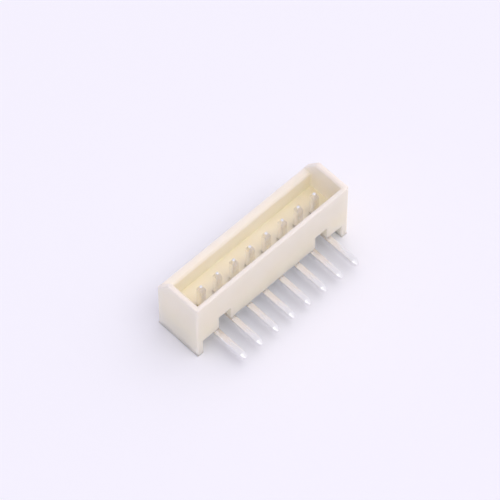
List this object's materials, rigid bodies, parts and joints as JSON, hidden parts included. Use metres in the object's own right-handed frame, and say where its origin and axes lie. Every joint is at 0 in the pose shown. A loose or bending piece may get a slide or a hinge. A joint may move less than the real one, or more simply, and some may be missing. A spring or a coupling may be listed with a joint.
{
  "type": "right-angle wafer connector",
  "caption": "Right-angle board header: an ivory shrouded housing with a mating mouth, rear ears and a row of bent square terminals whose tails solder into a circuit board.",
  "frame": {"origin": "middle of the footprint, tails included, on the surface that the rear ears stand on", "axes": "+X along the row of terminals, -Y the way the solder tails point, +Z out of the mating mouth"},
  "size_m": [0.0118, 0.0054, 0.0047],
  "materials": {
    "housing": "natural ivory moulded plastic, satin, slightly translucent at thin walls",
    "terminal": "tin plated wire, satin silver"
  },
  "bodies": {
    "root": {"housing": "housing", "pin_1": "terminal", "pin_2": "terminal", "pin_3": "terminal", "pin_4": "terminal", "pin_5": "terminal", "pin_6": "terminal", "pin_7": "terminal", "pin_8": "terminal"}
  },
  "joints": []
}
